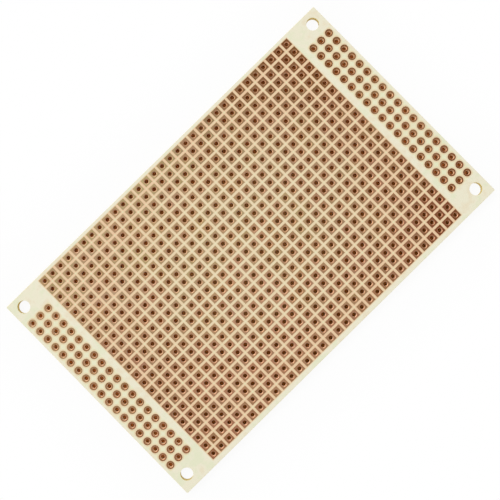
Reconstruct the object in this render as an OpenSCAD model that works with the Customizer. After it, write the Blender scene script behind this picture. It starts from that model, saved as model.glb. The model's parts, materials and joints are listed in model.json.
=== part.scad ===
// Prototyping board: one resin laminate with a 2.54 mm grid of lead holes, copper on one side.
// A field of square pads fills the middle, and three columns of round pads stand at each end.
// Every lead hole is punched from the copper side, so the foil dips into it in a small conical rim.
// The origin is the middle of the underside, X runs along the board, and the copper faces +Z.

/* [Board] */
// Length of the laminate, along X
board_length = 100; // [98.5:0.5:120]
// Width of the laminate, along Y
board_width = 60; // [59:0.5:80]
// Thickness of the bare laminate
board_thickness = 1.6; // [0.8:0.1:3.2]

/* [Mounting holes] */
// Diameter of the four corner holes
mount_hole_d = 3; // [2:0.1:4]
// Distance from each edge of the board to the centre of a corner hole
mount_hole_inset = 3; // [2.5:0.1:4]

/* [Hole pattern] */
// Spacing of the lead holes, along X and along Y
pitch = 2.54; // [2.25:0.01:2.56]
// Diameter of a lead hole
lead_hole_d = 1; // [0.7:0.05:1.2]
// Columns of square pads, side by side along X
square_columns = 32; // [4:1:32]
// Square pads in each column
square_rows = 23; // [3:1:23]
// Columns of round pads at each end
round_columns = 3; // [1:1:3]
// Round pads in each column
round_rows = 19; // [3:1:19]
// Centre distance from the last square column to the first round column
end_gap = 3.81; // [2.54:0.01:4.5]
// How far the punched pattern lies from the middle of the width
pattern_offset = 0.25; // [0:0.05:0.5]

/* [Copper] */
// Thickness of the copper foil
copper_thickness = 0.035; // [0.018, 0.035, 0.07, 0.105]
// Side of a square pad
square_pad_side = 1.9; // [1.7:0.05:2.1]
// Diameter of a round pad
round_pad_d = 1.9; // [1.7:0.05:2.1]
// Width of the sloping rim round a lead hole, in plan
rim_width = 0.15; // [0.05:0.01:0.2]
// How deep the sloping rim dips into the laminate
rim_depth = 0.12; // [0.04:0.01:0.3]

/* [Hidden] */
$fn = 64;
lead_hole_r = lead_hole_d / 2;
rim_r = lead_hole_r + rim_width;
// how far a cut runs past a face that it goes through
cut_past = 1;
mount_spacing = [board_length - 2 * mount_hole_inset, board_width - 2 * mount_hole_inset];
// centres of the columns along X, from left to right, and of the pads along each column
square_xs = [for (i = [0 : square_columns - 1]) (i - (square_columns - 1) / 2) * pitch];
first_round_x = square_xs[square_columns - 1] + end_gap;
round_xs = [for (i = [0 : round_columns - 1]) first_round_x + i * pitch];
square_ys = [for (i = [0 : square_rows - 1]) (i - (square_rows - 1) / 2) * pitch + pattern_offset];
round_ys = [for (i = [0 : round_rows - 1]) (i - (round_rows - 1) / 2) * pitch + pattern_offset];
laminate_colour = [0.92, 0.90, 0.80];
copper_colour = [0.72, 0.50, 0.36];
function square_name(i) = str("square_pads_col_", i < 9 ? "0" : "", i + 1);
function round_name(side, i) = str("round_pads_", side, "_", i + 1);

// places its child at every lead hole of one column
module along_column(x, ys) {
    for (y = ys) translate([x, y, 0]) children();
}

// places its child at every lead hole of the board
module at_lead_holes() {
    for (x = square_xs) along_column(x, square_ys) children();
    for (x = round_xs, side = [-1, 1]) along_column(side * x, round_ys) children();
}

// what the punch takes out of the laminate: a straight hole with a conical mouth for the foil's rim
module punched_hole() {
    rotate_extrude() polygon([
        [0, -cut_past],
        [lead_hole_r, -cut_past],
        [lead_hole_r, board_thickness - rim_depth],
        [rim_r, board_thickness],
        [rim_r, board_thickness + cut_past],
        [0, board_thickness + cut_past]
    ]);
}

// the foil's sloping rim: it lies in that mouth and keeps the foil's thickness, measured upright
module rim_foil() {
    rotate_extrude() polygon([
        [lead_hole_r, board_thickness - rim_depth],
        [rim_r, board_thickness],
        [rim_r, board_thickness + copper_thickness],
        [lead_hole_r, board_thickness - rim_depth + copper_thickness]
    ]);
}

// one pad: flat foil of the child's outline, with its rim seated in the hole's mouth
module pad() {
    union() {
        translate([0, 0, board_thickness]) linear_extrude(copper_thickness) difference() {
            children();
            circle(rim_r);
        }
        rim_foil();
    }
}

module laminate() {
    color(laminate_colour) difference() {
        linear_extrude(board_thickness) difference() {
            square([board_length, board_width], center = true);
            translate([0, pattern_offset]) for (sx = [-1, 1], sy = [-1, 1])
                translate([sx * mount_spacing[0] / 2, sy * mount_spacing[1] / 2]) circle(d = mount_hole_d);
        }
        at_lead_holes() punched_hole();
    }
}

module square_pads(i) {
    color(copper_colour) along_column(square_xs[i], square_ys)
        pad() square(square_pad_side, center = true);
}

module round_pads(side, i) {
    color(copper_colour) along_column((side == "left" ? -1 : 1) * round_xs[i], round_ys)
        pad() circle(d = round_pad_d);
}

laminate();
for (i = [0 : square_columns - 1])
    square_pads(i);
for (side = ["left", "right"], i = [0 : round_columns - 1])
    round_pads(side, i);
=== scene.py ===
# A prototyping board: pale laminate, square copper pads in the middle and round ones at both ends.
import json
import math

import bpy
import numpy as np
from mathutils import Matrix, Vector
from mathutils.geometry import delaunay_2d_cdt


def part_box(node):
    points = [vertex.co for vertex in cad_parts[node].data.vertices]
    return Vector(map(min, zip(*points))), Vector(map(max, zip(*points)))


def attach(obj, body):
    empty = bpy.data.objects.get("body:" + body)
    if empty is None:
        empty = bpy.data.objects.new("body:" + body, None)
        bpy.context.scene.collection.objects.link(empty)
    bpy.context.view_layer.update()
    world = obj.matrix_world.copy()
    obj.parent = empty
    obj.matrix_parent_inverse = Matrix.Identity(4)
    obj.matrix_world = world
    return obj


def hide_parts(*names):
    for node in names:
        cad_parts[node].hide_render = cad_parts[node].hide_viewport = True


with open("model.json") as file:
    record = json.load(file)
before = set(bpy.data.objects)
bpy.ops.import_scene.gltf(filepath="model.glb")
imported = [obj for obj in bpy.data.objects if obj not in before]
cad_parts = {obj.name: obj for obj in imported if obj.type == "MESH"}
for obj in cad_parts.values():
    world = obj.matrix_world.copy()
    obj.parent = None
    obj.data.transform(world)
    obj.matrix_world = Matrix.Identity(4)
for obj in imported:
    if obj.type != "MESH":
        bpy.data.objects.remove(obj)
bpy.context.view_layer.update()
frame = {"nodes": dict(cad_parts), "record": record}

mm = 0.001
boardLow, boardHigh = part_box("laminate")
boardTop = boardHigh.z
padNodes = [name for name in sorted(frame["nodes"]) if name != "laminate"]
print("frame: the laminate and", len(padNodes), "columns of pads")

# the holes, as the record gives them: one lead hole, and the four screw holes in the corners
mounts = {mount["name"]: mount for mount in frame["record"]["mounts"]}
holeRadius = mounts["lead_hole_square_pad"]["dims"]["r_mm"] * mm
screwHoles = mounts["corner_holes"]
screwRadius = screwHoles["dims"]["hole_r_mm"] * mm
screwMiddle = screwHoles["pos_m"][:2]
screwSpread = [screwHoles["dims"][key] * mm / 2 for key in ("spacing_x_mm", "spacing_y_mm")]


# A wire is the output of a node. Arithmetic on wires and numbers adds the Math nodes for it.
class Wire:
    def __init__(self, bench, socket):
        self.bench = bench
        self.socket = socket

    def maths(self, operation, first, second=0.0):
        return self.bench.node("ShaderNodeMath", {"operation": operation}, {0: first, 1: second})

    def __add__(self, other):
        return self.maths("ADD", self, other)

    def __radd__(self, other):
        return self.maths("ADD", other, self)

    def __sub__(self, other):
        return self.maths("SUBTRACT", self, other)

    def __rsub__(self, other):
        return self.maths("SUBTRACT", other, self)

    def __mul__(self, other):
        return self.maths("MULTIPLY", self, other)

    def __rmul__(self, other):
        return self.maths("MULTIPLY", other, self)

    def __pow__(self, other):
        return self.maths("POWER", self, other)

    def __abs__(self):
        return self.maths("ABSOLUTE", self)

    def highest(self, other):
        return self.maths("MAXIMUM", self, other)

    def lowest(self, other):
        return self.maths("MINIMUM", self, other)

    def whole(self):
        return self.maths("ROUND", self)

    def sine(self):
        return self.maths("SINE", self)

    def root(self):
        return self.maths("SQRT", self)


# A bench is one node tree and the ways of putting nodes in it.
class Bench:
    def __init__(self, tree):
        self.tree = tree
        tree.nodes.clear()

    # any node: its type, its own settings, which are set first, and a value or a wire for each socket
    def node(self, kind, settings=None, sockets=None, output=0):
        made = self.tree.nodes.new(kind)
        for name, value in (settings or {}).items():
            setattr(made, name, value)
        for name, value in (sockets or {}).items():
            if isinstance(value, Wire):
                self.tree.links.new(value.socket, made.inputs[name])
            else:
                made.inputs[name].default_value = value
        return Wire(self, made.outputs[output]) if made.outputs else None

    def places(self):
        return self.node("ShaderNodeTexCoord", output="Object")

    # the three numbers of a place, each a wire
    def split(self, wire):
        made = self.node("ShaderNodeSeparateXYZ", None, {0: wire})
        return [Wire(self, socket) for socket in made.socket.node.outputs]

    # a number that each place of the mesh carries
    def carried(self, name):
        return self.node("ShaderNodeAttribute", {"attribute_name": name}, output="Fac")

    # cloudy noise from 0 to 1, whose spots are about size metres across
    def noise(self, places, size, detail, rough):
        sockets = {"Vector": places, "Scale": 1 / size, "Detail": detail, "Roughness": rough}
        return self.node("ShaderNodeTexNoise", None, sockets)

    # 0 below low, 1 above high, and a soft step between them; or bottom and top instead of 0 and 1
    def step(self, wire, low, high, bottom=0.0, top=1.0):
        sockets = {"Value": wire, "From Min": low, "From Max": high, "To Min": bottom, "To Max": top}
        return self.node("ShaderNodeMapRange", {"interpolation_type": "SMOOTHSTEP"}, sockets)

    # two colours mixed by a share from 0 to 1; sockets 6 and 7 are the colours, and 2 is what comes out
    def mix(self, share, first, second, blend="MIX"):
        settings = {"data_type": "RGBA", "blend_type": blend}
        return self.node("ShaderNodeMix", settings, {0: share, 6: first, 7: second}, 2)

    def bump(self, height, strength, distance):
        sockets = {"Height": height, "Strength": strength, "Distance": distance}
        return self.node("ShaderNodeBump", None, sockets)

    def output(self, surface, kind="ShaderNodeOutputMaterial"):
        self.node(kind, None, {"Surface": surface})

    # the finish of a piece, from what its shader's sockets take
    def shade(self, sockets):
        self.output(self.node("ShaderNodeBsdfPrincipled", None, sockets))


def newMaterial(name):
    material = bpy.data.materials.new(name)
    material.use_nodes = True
    return material, Bench(material.node_tree)


def rgb(red, green, blue):
    return (red, green, blue, 1.0)


# half the length and half the width over which the finishes change from the middle of the board outwards
reachAlong = 40 * mm
reachAcross = 29 * mm
# where the two ends begin, past the square pads, and how softly
endFrom = 41.3 * mm
endFade = 1 * mm


# How far out a place lies: x and y over half lengths of their own, squared and added.
def outwards(x, y, halfAlong, halfAcross):
    return x * x * (1 / halfAlong**2) + y * y * (1 / halfAcross**2)


# 1 at both ends of the board and 0 between them.
def atEnds(bench, x):
    return bench.step(abs(x), endFrom, endFrom + endFade)


laminateLook = {
    "cream": rgb(0.875, 0.83, 0.64),
    "peach": rgb(0.84, 0.73, 0.52),
    "leaf": rgb(0.77, 0.81, 0.56),
    "straw": rgb(0.80, 0.83, 0.49),
    "stain": rgb(0.83, 0.54, 0.33),
    # peach and leaf blotches, which a slow drift gathers here and there
    "blotch": 2.3 * mm,
    "blotchFrom": 0.50,
    "blotchTo": 0.70,
    "blotchShare": 0.6,
    "drift": 14 * mm,
    "driftShare": 0.5,
    "fleck": 0.35 * mm,
    "fleckFrom": 0.62,
    "fleckTo": 0.75,
    "fleckShare": 0.10,
    # the straw and the stain round each pad, by the distance from it
    "strawFrom": 0.2 * mm,
    "strawTo": 1.3 * mm,
    "strawShare": 0.85,
    "stainFrom": 0.1 * mm,
    "stainTo": 0.5 * mm,
    "stainWaver": 0.3 * mm,
    "fieldFade": 0.35 * mm,
    "squareShare": 1.0,
    "roundShare": 0.6,
    "middleShare": 0.65,
    # the etched side begins between these shares of the thickness
    "etchedFrom": 0.4,
    "etchedTo": 0.6,
    "roughness": 0.42,
    "smoother": 0.05,
    "rougher": 0.08,
    "smoothUpTo": 0.3,
    "roughFrom": 0.7,
    "thread": 0.45 * mm,
    "fleckHeight": 0.8,
    "weaveStrength": 0.25,
    "weaveDepth": 0.004 * mm,
}


# How far a place lies outside the nearest pad of a field, and how far outside the whole field.
# The nearest pad is found by rounding to the pitch and holding the result inside the field.
# A square's distance is that past its sides, a circle's past its rim.
def padDistance(x, y, field):
    pitch, half = field["pitch"], field["half"]
    lastColumn, lastRow = field["columns"] - 1, field["rows"] - 1
    side = x if field["square"] else abs(x)
    column = (side * (1 / pitch) - field["first"] / pitch).whole().highest(0).lowest(lastColumn)
    row = (y * (1 / pitch) - field["bottom"] / pitch).whole().highest(0).lowest(lastRow)
    along = abs(side - (column * pitch + field["first"]))
    across = abs(y - (row * pitch + field["bottom"]))
    if field["square"]:
        along, across = (along - half).highest(0), (across - half).highest(0)
    away = (along * along + across * across).root() - (0 if field["square"] else half)
    halfLength, halfWidth = lastColumn * pitch / 2, lastRow * pitch / 2
    past = abs(side - (field["first"] + halfLength)) - (halfLength + half)
    past = past.highest(abs(y - (field["bottom"] + halfWidth)) - (halfWidth + half))
    return away, past


# The resin face: cream, with faint warm and greenish blotches, fine flecks and the print of the cloth.
# The print is the product of a sine of x and a sine of y. On the copper side a warm stain left by the
# etching surrounds each pad and fades over its reach. It is weaker in the middle of the board.
def makeLaminateFace(look, fields):
    material, bench = newMaterial("laminateFace")
    places = bench.places()
    x, y, z = bench.split(places)
    blotch = bench.noise(places, look["blotch"], detail=2.0, rough=0.55)
    drift = bench.noise(places, look["drift"], detail=1.0, rough=0.5)
    fleck = bench.noise(places, look["fleck"], detail=3.0, rough=0.6)
    gathered = look["driftShare"] * (drift - 0.5)
    warm = bench.step(blotch + gathered, look["blotchFrom"], look["blotchTo"])
    green = bench.step(1 - blotch - gathered, look["blotchFrom"], look["blotchTo"])
    flecked = bench.step(fleck, look["fleckFrom"], look["fleckTo"])
    colour = bench.mix(warm * look["blotchShare"], look["cream"], look["peach"])
    colour = bench.mix(green * look["blotchShare"], colour, look["leaf"])
    colour = bench.mix(flecked * look["fleckShare"], colour, look["peach"])
    etched = bench.step(z, look["etchedFrom"] * boardTop, look["etchedTo"] * boardTop)
    outward = outwards(x, y, reachAlong, reachAcross)
    etched = etched * bench.step(outward, 0.0, 1.0, look["middleShare"], 1.0)
    for field in fields:
        away, past = padDistance(x, y, field)
        away = away + (blotch - 0.5) * look["stainWaver"]
        within = etched * bench.step(past, 0.0, look["fieldFade"], 1.0, 0.0)
        share = look["squareShare"] if field["square"] else look["roundShare"]
        straw = bench.step(away, look["strawFrom"], look["strawTo"], look["strawShare"] * share, 0.0)
        stain = bench.step(away, look["stainFrom"], look["stainTo"], share, 0.0)
        colour = bench.mix(within * straw, colour, look["straw"])
        colour = bench.mix(within * stain, colour, look["stain"])
    smoothest, roughest = look["roughness"] - look["smoother"], look["roughness"] + look["rougher"]
    turn = 2 * math.pi / look["thread"]
    weave = (x * turn).sine() * (y * turn).sine() + look["fleckHeight"] * fleck
    bench.shade(
        {
            "Base Color": colour,
            "Roughness": bench.step(fleck, look["smoothUpTo"], look["roughFrom"], smoothest, roughest),
            "Normal": bench.bump(weave, look["weaveStrength"], look["weaveDepth"]),
        }
    )
    return material


cutLook = {
    "ochre": rgb(0.68, 0.50, 0.15),
    "straw": rgb(0.92, 0.80, 0.38),
    "ply": 0.2 * mm,
    "plyWaver": 4,
    "plyShare": 0.3,
    "ochreUpTo": 0.2,
    "strawFrom": 0.9,
    "grain": 0.3 * mm,
    "roughness": 0.75,
    "plyHeight": 0.2,
    "grainStrength": 0.4,
    "grainDepth": 0.015 * mm,
}


# A cut edge: the plies of the laminate show as thin lines, darker and yellower than the face.
# They are a sine of the height, which the grain makes waver.
def makeCutEdge(look):
    material, bench = newMaterial("cutEdge")
    places = bench.places()
    x, y, z = bench.split(places)
    grain = bench.noise(places, look["grain"], detail=3.0, rough=0.6)
    ply = (z * (2 * math.pi / look["ply"]) + look["plyWaver"] * grain).sine()
    pale = bench.step(look["plyShare"] * ply + grain, look["ochreUpTo"], look["strawFrom"])
    height = grain + look["plyHeight"] * ply
    bench.shade(
        {
            "Base Color": bench.mix(pale, look["ochre"], look["straw"]),
            "Roughness": look["roughness"],
            "Normal": bench.bump(height, look["grainStrength"], look["grainDepth"]),
        }
    )
    return material


punchedLook = {
    "mouth": rgb(0.92, 0.64, 0.42),
    # the brown deeper in the hole is painted shade; the paler mouth and deeper reach at the ends are
    # painted light
    "depths": rgb(0.50, 0.20, 0.05),
    "endMouth": rgb(0.98, 0.75, 0.50),
    "endDeeper": 0.35 * mm,
    "turnsAt": 0.85 * mm,
    "over": 0.45 * mm,
    "ragged": 0.5 * mm,
    "grain": 0.15 * mm,
    "roughness": 0.7,
    "grainStrength": 0.5,
    "grainDepth": 0.02 * mm,
}


# The wall of a lead hole: orange at the mouth, browner further down, by a soft step of the height; the
# brown deeper in the hole is painted shade. At both ends of the board the bare resin round the holes lets
# light through, so the walls there are painted pale further down, a painted light.
def makePunchedWall(look):
    material, bench = newMaterial("punchedWall")
    places = bench.places()
    x, y, z = bench.split(places)
    grain = bench.noise(places, look["grain"], detail=3.0, rough=0.6)
    height = z + (grain - 0.5) * look["ragged"]
    end = atEnds(bench, x)
    high = bench.step(height + look["endDeeper"] * end - look["turnsAt"], -look["over"], look["over"])
    mouth = bench.mix(end, look["mouth"], look["endMouth"])
    bench.shade(
        {
            "Base Color": bench.mix(high, look["depths"], mouth),
            "Roughness": look["roughness"],
            "Normal": bench.bump(grain, look["grainStrength"], look["grainDepth"]),
        }
    )
    return material


copperLook = {
    "tan": rgb(0.545, 0.33, 0.18),
    "brown": rgb(0.25, 0.085, 0.027),
    "rosy": rgb(1.06, 0.81, 0.85),
    "mossy": rgb(0.94, 1.15, 1.16),
    "bluish": rgb(1.0, 1.0, 1.14),
    "golden": rgb(1.0, 1.0, 0.86),
    "rim": rgb(0.585, 0.305, 0.145),
    "paleRim": rgb(0.775, 0.455, 0.26),
    "edge": rgb(0.20, 0.10, 0.04),
    # a greenish cast on the pads' etched edges
    "verdigris": rgb(0.87, 1.06, 1.0),
    # how brown the copper is in the middle and towards each part of the board, a painted loss of the
    # lamp's reflection, and the random age of the film by pad, stain and cloud
    "age": 0.05,
    "agePlusX": 0.07,
    "agePlusY": -0.05,
    "ageEnds": 0.59,
    "ageSides": 0.36,
    "ageTwist": 0.21,
    "ageCorners": 0.42,
    "agePastPads": 0.1,
    "agePad": 0.08,
    "ageStain": 0.22,
    "ageCloud": 0.75,
    "fullAge": 1.2,
    "farthest": 1.05,
    # from rosy at 0 to mossy at 1
    "lean": 0.5,
    "leanPlusX": 0.03,
    "leanPlusY": 0.29,
    "leanPad": 0.35,
    "leanDrift": 0.8,
    # from bluish at 0 to golden at 1
    "gold": 0.5,
    "goldEnds": 0.3,
    "goldDrift": 1.6,
    # how pale the rims are painted, a painted highlight that is stronger towards -X, and how much of their
    # colour they take
    "pale": 0.45,
    "palePlusX": -0.40,
    "palePlusY": 0.05,
    "paleTwist": -0.12,
    "rimShare": 0.6,
    "rimPad": 0.4,
    # the dark line of the etched side
    "edgeShare": 0.5,
    "edgeNarrows": 3,
    "metallic": 1.0,
    "roughness": 0.46,
    "roughStain": 0.18,
    "roughPad": 0.08,
    "rimSmoother": 0.06,
    "coat": 0.1,
    "rimCoat": 0.8,
    "coatRoughness": 0.2,
    "stainSize": 1.1 * mm,
    "driftSize": 9 * mm,
    "cloudSize": 6.3 * mm,
    "goldSize": 4.5 * mm,
    "scratchSize": 0.06 * mm,
    "scratchHeight": 0.4,
    "filmStrength": 0.2,
    "filmDepth": 0.004 * mm,
}


# Bare copper under a thin flux film: tan in the middle of the board and browner towards its ends and
# sides, a painted reflection of the lamp, and browner where the film is older. The painted part is a sum
# of x, y, x squared, x times y, y squared and x times y squared, where x and y run from -1 to 1 over the
# pads. The lean to moss and the rims' paleness, a painted highlight, are shorter sums of the same kind.
def makeCopper(look):
    material, bench = newMaterial("copperFoil")
    places = bench.places()
    x, y, z = bench.split(places)
    along = (x * (1 / reachAlong)).highest(-look["farthest"]).lowest(look["farthest"])
    across = y * (1 / reachAcross)
    end = atEnds(bench, x)
    tint, hue, dip, edge = (bench.carried(name) for name in ("padTint", "padHue", "padDip", "padEdge"))
    drift = bench.noise(places, look["driftSize"], detail=2.0, rough=0.5)
    cloud = bench.noise(places, look["cloudSize"], detail=1.0, rough=0.5)
    golden = bench.noise(places, look["goldSize"], detail=1.0, rough=0.5)
    stain = bench.noise(places, look["stainSize"], detail=3.0, rough=0.6)
    scratch = bench.noise(places, look["scratchSize"], detail=2.0, rough=0.6)

    # painted reflection: lighter in the middle and browner towards the ends and sides, where the lamp's
    # sheen falls off; the pad, stain and cloud terms are the film's random age
    age = look["age"] + look["agePlusX"] * along + look["agePlusY"] * across
    age = age + look["ageEnds"] * along * along + look["ageTwist"] * along * across
    age = age + (look["ageSides"] + look["ageCorners"] * along) * across * across
    age = age + look["agePastPads"] * end + look["agePad"] * (tint - 0.5)
    age = age + look["ageStain"] * (stain - 0.5) + look["ageCloud"] * (cloud - 0.5)
    lean = look["lean"] + look["leanPlusX"] * along + look["leanPlusY"] * across
    lean = lean + look["leanPad"] * (hue - 0.5) + look["leanDrift"] * (drift - 0.5)
    gold = look["gold"] + look["goldEnds"] * end + look["goldDrift"] * (golden - 0.5)
    pale = look["pale"] + look["palePlusX"] * along + look["palePlusY"] * across
    pale = pale + look["paleTwist"] * along * across

    colour = bench.mix(age * (1 / look["fullAge"]), look["tan"], look["brown"])
    colour = bench.mix(1.0, colour, bench.mix(lean, look["rosy"], look["mossy"]), "MULTIPLY")
    colour = bench.mix(1.0, colour, bench.mix(gold, look["bluish"], look["golden"]), "MULTIPLY")
    colour = bench.mix(edge, colour, bench.mix(1.0, colour, look["verdigris"], "MULTIPLY"))
    colour = bench.mix(edge ** look["edgeNarrows"] * (look["edgeShare"] * age), colour, look["edge"])
    # the rims are painted paler towards -X, a painted highlight
    rim = bench.mix(pale, look["rim"], look["paleRim"])
    colour = bench.mix(dip * (look["rimShare"] + look["rimPad"] * tint), colour, rim)
    rough = look["roughness"] + look["roughStain"] * (stain - 0.5) + look["roughPad"] * (tint - 0.5)
    film = stain + look["scratchHeight"] * scratch
    bench.shade(
        {
            "Base Color": colour,
            "Metallic": look["metallic"],
            "Roughness": rough - look["rimSmoother"] * dip,
            "Coat Weight": look["coat"] + (look["rimCoat"] - look["coat"]) * dip,
            "Coat Roughness": look["coatRoughness"],
            "Normal": bench.bump(film, look["filmStrength"], look["filmDepth"]),
        }
    )
    return material


# The turn of each step round a ring, in even turns from a diagonal.
def ringTurns(steps):
    return math.pi / 4 + 2 * math.pi * np.arange(steps) / steps


# The unit outline of a ring. A round one is (cos, sin) of its turns.
# A square one is the same divided by the larger of the two, so its corners lie on the diagonals.
def unitRing(steps, square=False):
    unit = np.stack([np.cos(ringTurns(steps)), np.sin(ringTurns(steps))], -1)
    return unit / np.abs(unit).max(-1, keepdims=True) if square else unit


# Rings from rows of (unit outline, reach, height): each is its outline times the reach, at that height.
def stackRings(rows):
    return np.stack([np.c_[unit * reach, np.full(len(unit), height)] for unit, reach, height in rows])


# Faces between neighbouring rings: step k of ring j, step k + 1, then those two of ring j + 1, backwards.
# The last ring joins the first where the profile closes on itself.
def ringFaces(ringCount, steps, closed):
    ring = np.arange(ringCount if closed else ringCount - 1)[:, None] * steps
    nextRing = (ring + steps) % (ringCount * steps)
    step = np.arange(steps)[None, :]
    nextStep = (step + 1) % steps
    corners = [ring + step, ring + nextStep, nextRing + nextStep, nextRing + step]
    return np.stack(corners, -1).reshape(-1, 4)


# The same shape at every centre: its places shifted, and its faces counted on from the copies before.
def repeat(places, faces, centres):
    flat = places.reshape(-1, 3)
    shifted = flat[None] + np.c_[centres, np.zeros(len(centres))][:, None]
    counted = faces[None] + (np.arange(len(centres)) * len(flat))[:, None, None]
    return shifted.reshape(-1, 3), counted.reshape(-1, faces.shape[1])


sharpFrom = 35  # faces that meet at more degrees than this keep a sharp edge


# A piece from its places and its sets of faces, each set with the number of its material.
def makePiece(name, places, faceSets, materials, carried=None):
    mesh = bpy.data.meshes.new(name)
    counts = np.concatenate([np.full(len(faces), faces.shape[1]) for faces, slot in faceSets])
    corners = np.concatenate([faces.ravel() for faces, slot in faceSets])
    slots = np.concatenate([np.full(len(faces), slot) for faces, slot in faceSets])
    mesh.vertices.add(len(places))
    mesh.vertices.foreach_set("co", places.astype(np.float32).ravel())
    mesh.loops.add(len(corners))
    mesh.loops.foreach_set("vertex_index", corners.astype(np.int32))
    mesh.polygons.add(len(counts))
    mesh.polygons.foreach_set("loop_start", (np.cumsum(counts) - counts).astype(np.int32))
    mesh.polygons.foreach_set("material_index", slots.astype(np.int32))
    mesh.update(calc_edges=True)
    mesh.validate()
    for material in materials:
        mesh.materials.append(material)
    for title, values in (carried or {}).items():
        layer = mesh.attributes.new(title, "FLOAT", "POINT")
        layer.data.foreach_set("value", values.astype(np.float32))
    mesh.shade_smooth()
    mesh.set_sharp_from_angle(angle=math.radians(sharpFrom))
    piece = bpy.data.objects.new(name, mesh)
    bpy.context.scene.collection.objects.link(piece)
    return piece


padForm = {
    "steps": 12,
    "pitch": 2.54 * mm,
    "rimWidth": 0.15 * mm,
    "flatEnd": 0.23 * mm,
    "browStart": 0.19 * mm,
    "browMiddle": 0.10 * mm,
    "browDip": 0.045 * mm,
    "browSpread": 0.012 * mm,
    "browTilt": 0.021 * mm,
    "undercut": 0.012 * mm,
    # for the rings in the order of padRings: which is the brow, and how much each is rim and etched side
    "browRing": 4,
    "ringDips": [0.0, 0.0, 0.0, 0.1, 0.7, 1.0, 1.0, 0.0],
    "ringEdges": [1.0, 1.0, 0.0, 0.0, 0.0, 0.0, 0.0, 0.0],
    "seed": 7,
}


# One column: the centre of each pad, half the pad's width, and the heights that the foil lies between.
def readColumn(node, form):
    low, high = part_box(node)
    width = high.x - low.x
    rows = round((high.y - low.y - width) / form["pitch"]) + 1
    y = np.linspace(low.y + width / 2, high.y - width / 2, rows)
    centres = np.stack([np.full(rows, (low.x + high.x) / 2), y], -1)
    return {"centres": centres, "half": width / 2, "low": low.z, "high": high.z}


# One pad: a closed profile carried round the hole. It goes up the etched side, in over the flat foil,
# down the rounded rim to the lip, and back out under the rim and the foil.
def padRings(column, form, square):
    outer = unitRing(form["steps"], square)
    inner = unitRing(form["steps"])
    top, lip = column["high"], column["low"]
    foil = top - boardTop
    return stackRings(
        [
            (outer, column["half"], boardTop),
            (outer, column["half"] - form["undercut"], top),
            (inner, holeRadius + form["flatEnd"], top),
            (inner, holeRadius + form["browStart"], top),
            (inner, holeRadius + form["browMiddle"], top - form["browDip"]),
            (inner, holeRadius, lip + foil),
            (inner, holeRadius, lip),
            (inner, holeRadius + form["rimWidth"], boardTop),
        ]
    )


# No two rims are pressed alike: the brow of each sits a little high or low and leans to one side.
# Its lean is a cosine of the turn round the hole, with a depth and a direction of its own.
def pressRims(pads, form, chance):
    count = len(pads)
    offset = form["browSpread"] * (chance.random(count) - 0.5)
    lean = form["browTilt"] * chance.random(count)
    facing = 2 * math.pi * chance.random(count)
    turn = ringTurns(form["steps"])[None, :] - facing[:, None]
    pads[:, form["browRing"], :, 2] += offset[:, None] + lean[:, None] * np.cos(turn)
    return pads


columns = {node: readColumn(node, padForm) for node in padNodes}


# A field of equal columns: where its first pad is, how many columns and rows it has, and its pads' shape.
# The round pads at the two ends mirror each other, so their field is one end's, where x is positive.
def readField(start, square):
    found = [column for node, column in columns.items() if node.startswith(start)]
    digits = 7  # of a metre, so that the columns at both ends count as the same
    x = sorted({round(abs(column["centres"][0, 0]), digits) for column in found})
    return {
        "pitch": padForm["pitch"],
        "first": -x[-1] if square else x[0],
        "bottom": found[0]["centres"][0, 1],
        "columns": len(found) if square else len(x),
        "rows": len(found[0]["centres"]),
        "half": found[0]["half"],
        "square": square,
    }


fields = [readField("square", True), readField("round", False)]
laminateFace = makeLaminateFace(laminateLook, fields)
cutEdge = makeCutEdge(cutLook)
punchedWall = makePunchedWall(punchedLook)
copperFoil = makeCopper(copperLook)
print("finishes: laminate face, cut edges, punched walls and copper")

chance = np.random.default_rng(padForm["seed"])
for node, column in columns.items():
    rings = padRings(column, padForm, node.startswith("square"))
    faces = ringFaces(len(rings), padForm["steps"], True)
    places, faces = repeat(rings, faces, column["centres"])
    count = len(column["centres"])
    perPad = rings.shape[0] * rings.shape[1]
    places = pressRims(places.reshape(count, *rings.shape), padForm, chance).reshape(-1, 3)
    carried = {
        "padTint": np.repeat(chance.random(count), perPad),
        "padHue": np.repeat(chance.random(count), perPad),
        "padDip": np.tile(np.repeat(padForm["ringDips"], padForm["steps"]), count),
        "padEdge": np.tile(np.repeat(padForm["ringEdges"], padForm["steps"]), count),
    }
    words = node.split("_")
    name = words[0] + "Pads" + "".join(word.capitalize() for word in words[2:] if word != "col")
    piece = makePiece(name, places, [(faces, 0)], [copperFoil], carried)
    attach(piece, "root")
    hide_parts(node)
print("copper:", sum(len(column["centres"]) for column in columns.values()), "pads")


boardForm = {
    "cornerRadius": 0.15 * mm,
    "cornerSteps": 5,
    "arris": 0.05 * mm,
    "holeArris": 0.03 * mm,
    "screwHoleSteps": 48,
}
quarters = np.array([[1, 1], [-1, 1], [-1, -1], [1, -1]])  # the signs of x and y in the four quarters
wallRings = 4  # every hole's wall and the board's side have this many rings


# The outline: a rectangle with small rounded corners, each corner a quarter turn about its own centre.
# The profile up its side is a thin slope, the upright cut, and a thin slope again.
def outlineRings(form):
    quarterTurn = math.pi / 2
    turn = np.linspace(0, quarterTurn, form["cornerSteps"])[None, :] + quarterTurn * np.arange(4)[:, None]
    unit = np.stack([np.cos(turn), np.sin(turn)], -1)
    half = np.array([boardHigh.x - boardLow.x, boardHigh.y - boardLow.y]) / 2 - form["cornerRadius"]
    middle = np.array([boardHigh.x + boardLow.x, boardHigh.y + boardLow.y]) / 2
    arris = form["arris"]
    heights = [boardLow.z, boardLow.z + arris, boardTop - arris, boardTop]
    rings = []
    for inset, height in zip([arris, 0, 0, arris], heights):
        flat = middle + quarters[:, None] * half + unit * (form["cornerRadius"] - inset)
        rings.append(np.c_[flat.reshape(-1, 2), np.full(flat.size // 2, height)])
    return np.stack(rings)


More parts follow.
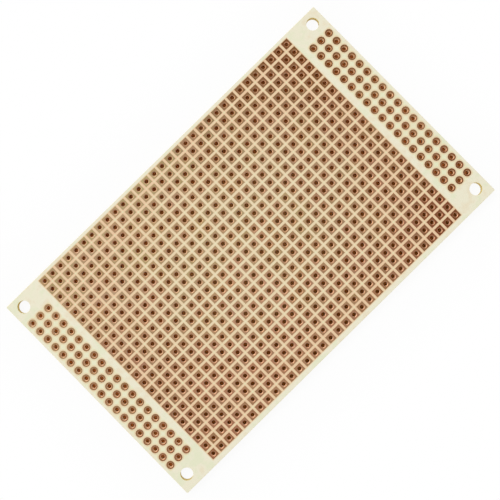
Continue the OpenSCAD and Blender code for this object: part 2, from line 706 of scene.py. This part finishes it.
# A hole's wall from rows of (radius, height), from the top edge down to the bottom one.
def holeRings(steps, rows):
    unit = unitRing(steps)
    return stackRings([(unit, radius, height) for radius, height in rows])


# The numbers of the places on one ring of each wall, where equal walls follow one another from start.
def ringNumbers(start, copies, steps, ring):
    return start + (np.arange(copies)[:, None] * wallRings + ring) * steps + np.arange(steps)[None, :]


# Triangles over a flat face between loops of places of these sizes, the last of which is the outline.
# They cover the whole outline and keep the loops' edges. Those with all three corners on one hole fill it,
# so they are left out. A triangle's area, from the product of two of its sides, says which way it faces.
def fillBetween(flat, sizes):
    everyTriangle, nearest = 0, 1e-6  # what is asked for, and the distance at which places merge
    loopOf = np.repeat(np.arange(len(sizes)), sizes)
    first = np.repeat(np.cumsum(sizes) - sizes, sizes)
    here = np.arange(len(flat))
    following = first + (here - first + 1) % np.repeat(sizes, sizes)
    edges = np.stack([here, following], -1)
    found = delaunay_2d_cdt(list(map(Vector, flat.tolist())), edges.tolist(), [], everyTriangle, nearest)
    given = np.array(found[3])[:, 0]
    triangles = given[np.array(found[2])]
    loops = loopOf[triangles]
    onOne = (loops[:, 0] == loops[:, 1]) & (loops[:, 1] == loops[:, 2])
    triangles = triangles[~(onOne & (loops[:, 0] < len(sizes) - 1))]
    one, two, three = (flat[triangles[:, corner]] for corner in range(3))
    area = (two - one)[:, 0] * (three - one)[:, 1] - (two - one)[:, 1] * (three - one)[:, 0]
    return np.where((area < 0)[:, None], triangles[:, ::-1], triangles)


# The board: the walls of all its holes, its side, and the flat faces between them.
def makeLaminate(form):
    leadCentres = np.concatenate([column["centres"] for column in columns.values()])
    screwCentres = np.array(screwMiddle) + np.array(screwSpread) * quarters
    lip = min(column["low"] for column in columns.values())
    edge = form["holeArris"]
    leadRows = [
        (holeRadius + padForm["rimWidth"], boardTop),
        (holeRadius, lip),
        (holeRadius, boardLow.z + edge),
        (holeRadius + edge, boardLow.z),
    ]
    screwRows = [
        (screwRadius + edge, boardTop),
        (screwRadius, boardTop - edge),
        (screwRadius, boardLow.z + edge),
        (screwRadius + edge, boardLow.z),
    ]
    leadSteps, screwSteps = padForm["steps"], form["screwHoleSteps"]
    outline = outlineRings(form)
    sideSteps = outline.shape[1]
    leadFaces = ringFaces(wallRings, leadSteps, False)
    leadPlaces, leadFaces = repeat(holeRings(leadSteps, leadRows), leadFaces, leadCentres)
    screwFaces = ringFaces(wallRings, screwSteps, False)
    screwPlaces, screwFaces = repeat(holeRings(screwSteps, screwRows), screwFaces, screwCentres)
    sideFaces = ringFaces(wallRings, sideSteps, False)
    places = np.concatenate([leadPlaces, screwPlaces, outline.reshape(-1, 3)])
    screwStart = len(leadPlaces)
    sideStart = screwStart + len(screwPlaces)

    # the walls: where their places start, how many there are, and their rings at the top and the bottom
    walls = [
        (0, len(leadCentres), leadSteps, 0, 3),
        (screwStart, len(screwCentres), screwSteps, 0, 3),
        (sideStart, 1, sideSteps, 3, 0),
    ]
    tops = [ringNumbers(start, copies, steps, top) for start, copies, steps, top, bottom in walls]
    bottoms = [ringNumbers(start, copies, steps, bottom) for start, copies, steps, top, bottom in walls]
    topNumbers = np.concatenate([numbers.ravel() for numbers in tops])
    bottomNumbers = np.concatenate([numbers.ravel() for numbers in bottoms])
    sizes = np.concatenate([np.full(numbers.shape[0], numbers.shape[1]) for numbers in tops])
    triangles = fillBetween(places[topNumbers, :2] / mm, sizes)
    faceSets = [
        (topNumbers[triangles], 0),
        (bottomNumbers[triangles][:, ::-1], 0),
        (leadFaces, 2),
        (screwFaces + screwStart, 1),
        (sideFaces + sideStart, 1),
    ]
    return makePiece("laminateBoard", places, faceSets, [laminateFace, cutEdge, punchedWall])


board = makeLaminate(boardForm)
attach(board, "root")
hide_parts("laminate")
print("laminate:", len(board.data.polygons), "faces")


floorForm = {
    "half": 1.5,
    "below": 0.01 * mm,
    "white": rgb(0.9, 0.9, 0.9),
    # the painted shade under the board: umber, dim towards -Y, olive in the middle and a lighter amber at
    # both ends
    "umber": rgb(0.56, 0.23, 0.055),
    "dim": rgb(0.44, 0.18, 0.03),
    "olive": rgb(0.58, 0.33, 0.10),
    "amber": rgb(0.70, 0.28, 0.07),
    "dimUpTo": -24 * mm,
    "umberFrom": 6 * mm,
    "oliveAlong": 30 * mm,
    "oliveAcross": 24 * mm,
    # the painted brown shade begins inside the board's edge, between these distances, and leaves the screw
    # holes free
    "edgeNear": 0.2 * mm,
    "edgeFar": 0.5 * mm,
    "screwRoom": 1.2,
    "screwFade": 0.2 * mm,
    "shadowShare": 0.08,
    "shadowReach": 20 * mm,
}


# The floor shows white to the eye, with a little of its own shading left in for the shadow.
# Under the board it is painted shade: brown for the dim light that comes down a lead hole, darker towards
# -Y, olive in the middle, and painted lighter, amber, at both ends. There it is seen only through the
# holes.
# The screw holes are wide enough to show it white.
def makeFloor(form):
    material, bench = newMaterial("floorPaper")
    x, y, z = bench.split(bench.places())
    screwX = abs(abs(x - screwMiddle[0]) - screwSpread[0])
    screwY = abs(abs(y - screwMiddle[1]) - screwSpread[1])
    wide = form["screwRoom"] * screwRadius
    fromEdge = (abs(x) - boardHigh.x).highest(abs(y) - boardHigh.y)
    under = bench.step(fromEdge, -form["edgeFar"], -form["edgeNear"], 1.0, 0.0)
    under = under * bench.step(screwX.highest(screwY), wide, wide + form["screwFade"])
    outward = outwards(x, y, form["oliveAlong"], form["oliveAcross"])
    holeShade = bench.mix(bench.step(y, form["dimUpTo"], form["umberFrom"]), form["dim"], form["umber"])
    holeShade = bench.mix(bench.step(outward, 0.0, 1.0, 1.0, 0.0), holeShade, form["olive"])
    holeShade = bench.mix(atEnds(bench, x), holeShade, form["amber"])
    rays = bench.node("ShaderNodeLightPath").socket.node.outputs
    seen = Wire(bench, rays["Is Camera Ray"]) + Wire(bench, rays["Is Glossy Ray"])
    seen = (seen + Wire(bench, rays["Is Transmission Ray"])).lowest(1)
    paperAndHoleShade = bench.mix(under, form["white"], holeShade)
    dull = {"Base Color": paperAndHoleShade, "Roughness": 1.0, "Specular IOR Level": 0.0}
    paper = bench.node("ShaderNodeBsdfPrincipled", None, dull)
    glow = bench.node("ShaderNodeEmission", None, {"Color": rgb(1, 1, 1), "Strength": 1.0})
    shaded = bench.step(fromEdge, 0.0, form["shadowReach"], form["shadowShare"], 0.0)
    share = seen * (1 - under) * (1 - shaded)
    bench.output(bench.node("ShaderNodeMixShader", None, {0: share, 1: paper, 2: glow}))
    corners = unitRing(4, True) * form["half"]
    places = np.c_[corners, np.full(4, boardLow.z - form["below"])]
    floor = makePiece("floorSheet", places, [(np.array([[0, 1, 2, 3]]), 0)], [material])


makeFloor(floorForm)

skyForm = {
    "low": 0.62,
    "high": 0.945,
    # these are in degrees
    "turn": 135,
    "lean": 8,
    "core": 6,
    "reach": 44,
}


# The unit direction that lies turn degrees round from +X and height degrees above the floor.
def direction(turn, height):
    around, up = math.radians(turn), math.radians(height)
    return Vector((math.cos(around) * math.cos(up), math.sin(around) * math.cos(up), math.sin(up)))


# The surroundings: white to the eye. For light they are an even dome with a brighter part overhead,
# whose strength falls off with the angle from its middle.
def makeSky(form):
    world = bpy.data.worlds.new("studio")
    world.use_nodes = True
    bpy.context.scene.world = world
    bench = Bench(world.node_tree)
    middle = direction(form["turn"], 90 - form["lean"])
    towards = bench.node("ShaderNodeTexCoord", output="Generated")
    settings = {"operation": "DOT_PRODUCT"}
    facing = bench.node("ShaderNodeVectorMath", settings, {0: towards, 1: middle}, "Value")
    reach, core = math.cos(math.radians(form["reach"])), math.cos(math.radians(form["core"]))
    strength = bench.step(facing, reach, core, form["low"], form["high"])
    seen = bench.node("ShaderNodeLightPath", output="Is Camera Ray")
    sockets = {"Color": rgb(1, 1, 1), "Strength": strength + (1 - strength) * seen}
    bench.output(bench.node("ShaderNodeBackground", None, sockets), "ShaderNodeOutputWorld")


makeSky(skyForm)

lampForm = {
    # these two are in degrees
    "turn": 100,
    "height": 43,
    "distance": 2.0,
    "width": 4.0,
    "depth": 0.95,
    "power": 21.0,
}


# A soft oval lamp, turn degrees round from +X and height degrees up, aimed at the board.
# Its width lies level.
def makeLamp(form):
    lamp = bpy.data.lights.new("keyLamp", "AREA")
    lamp.shape = "ELLIPSE"
    lamp.size = form["width"]
    lamp.size_y = form["depth"]
    lamp.energy = form["power"]
    holder = bpy.data.objects.new("keyLamp", lamp)
    bpy.context.scene.collection.objects.link(holder)
    towards = direction(form["turn"], form["height"])
    aim = towards.to_track_quat("Z", "Y").to_matrix().to_4x4()
    holder.matrix_world = Matrix.Translation(towards * form["distance"]) @ aim


makeLamp(lampForm)

cameraForm = {
    "place": (-2.91 * mm, -3.32 * mm, 200 * mm),
    # degrees round Z, X and Y
    "turn": -44.512,
    "nod": 1.182,
    "lean": 0.128,
    # in millimetres
    "lens": 61.57,
    "sensor": 36,
    # in metres
    "near": 0.01,
    "far": 100,
}
cameraData = bpy.data.cameras.new("camera")
cameraData.lens = cameraForm["lens"]
cameraData.sensor_width = cameraForm["sensor"]
cameraData.clip_start = cameraForm["near"]
cameraData.clip_end = cameraForm["far"]
camera = bpy.data.objects.new("camera", cameraData)
bpy.context.scene.collection.objects.link(camera)
camera.matrix_world = (
    Matrix.Translation(cameraForm["place"])
    @ Matrix.Rotation(math.radians(cameraForm["turn"]), 4, "Z")
    @ Matrix.Rotation(math.radians(cameraForm["nod"]), 4, "X")
    @ Matrix.Rotation(math.radians(cameraForm["lean"]), 4, "Y")
)
bpy.context.scene.camera = camera
bpy.context.scene.view_settings.view_transform = "Standard"
print("studio: floor, light and camera")
